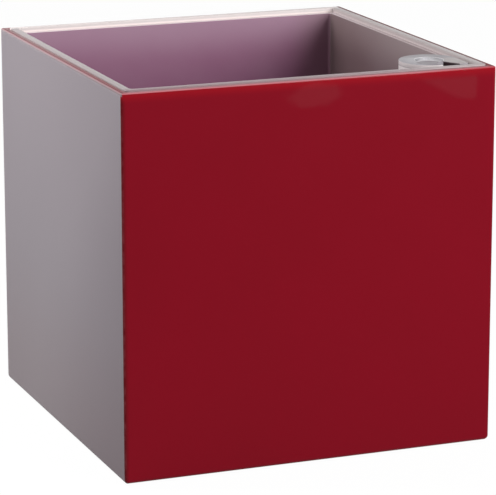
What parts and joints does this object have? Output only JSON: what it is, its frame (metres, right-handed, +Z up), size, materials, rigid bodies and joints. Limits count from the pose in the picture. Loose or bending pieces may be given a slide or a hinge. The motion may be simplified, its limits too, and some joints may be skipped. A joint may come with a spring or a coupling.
{
  "type": "self-watering cube planter",
  "caption": "Cube flower planter with a gloss shell, inlaid side panels, a lift-out liner and a clear corner filler tube with a float level indicator.",
  "frame": {"origin": "on the resting surface under the middle of the pot", "axes": "+Z up, -Y out of the gloss front face, +X towards the right side panel as seen from the front; the filler tube stands in the +X, -Y corner"},
  "size_m": [0.14, 0.14, 0.14],
  "materials": {
    "shell_red": "high gloss",
    "panel_grey": "satin",
    "tape_white": "foam",
    "foot_rubber": "matte",
    "liner_milky": "milky satin",
    "rim_grey": "satin",
    "tray_grey": "matte",
    "tube_clear": "clear",
    "float_white": "matte",
    "pointer_red": "gloss"
  },
  "bodies": {
    "outer_pot": {"outer_shell": "shell_red", "left_side_panel": "panel_grey", "right_side_panel": "panel_grey", "left_panel_tape": "tape_white", "right_panel_tape": "tape_white", "foot_front_left": "foot_rubber", "foot_front_right": "foot_rubber", "foot_back_left": "foot_rubber", "foot_back_right": "foot_rubber"},
    "inner_pot": {"liner_pot": "liner_milky", "rim_frame": "rim_grey"},
    "tray": {"soil_tray": "tray_grey", "wick_cup_front_left": "tray_grey", "wick_cup_front_right": "tray_grey", "wick_cup_back_left": "tray_grey", "wick_cup_back_right": "tray_grey"},
    "indicator": {"filler_tube": "tube_clear", "tube_cap": "tube_clear", "sight_tube": "tube_clear", "tube_foot": "tube_clear"},
    "float_gauge": {"float": "float_white", "float_rod": "float_white", "level_pointer": "pointer_red"}
  },
  "joints": [
    {"name": "liner_lift", "type": "slide", "parent": "outer_pot", "child": "inner_pot", "axis": [0, 0, 1], "range_m": [0, 0.145]},
    {"name": "tray_lift", "type": "slide", "parent": "inner_pot", "child": "tray", "axis": [0, 0, 1], "range_m": [0, 0.14]},
    {"name": "indicator_lift", "type": "slide", "parent": "inner_pot", "child": "indicator", "axis": [0, 0, 1], "range_m": [0, 0.145]},
    {"name": "float_rise", "type": "slide", "parent": "indicator", "child": "float_gauge", "axis": [0, 0, 1], "range_m": [0, 0.022]}
  ]
}
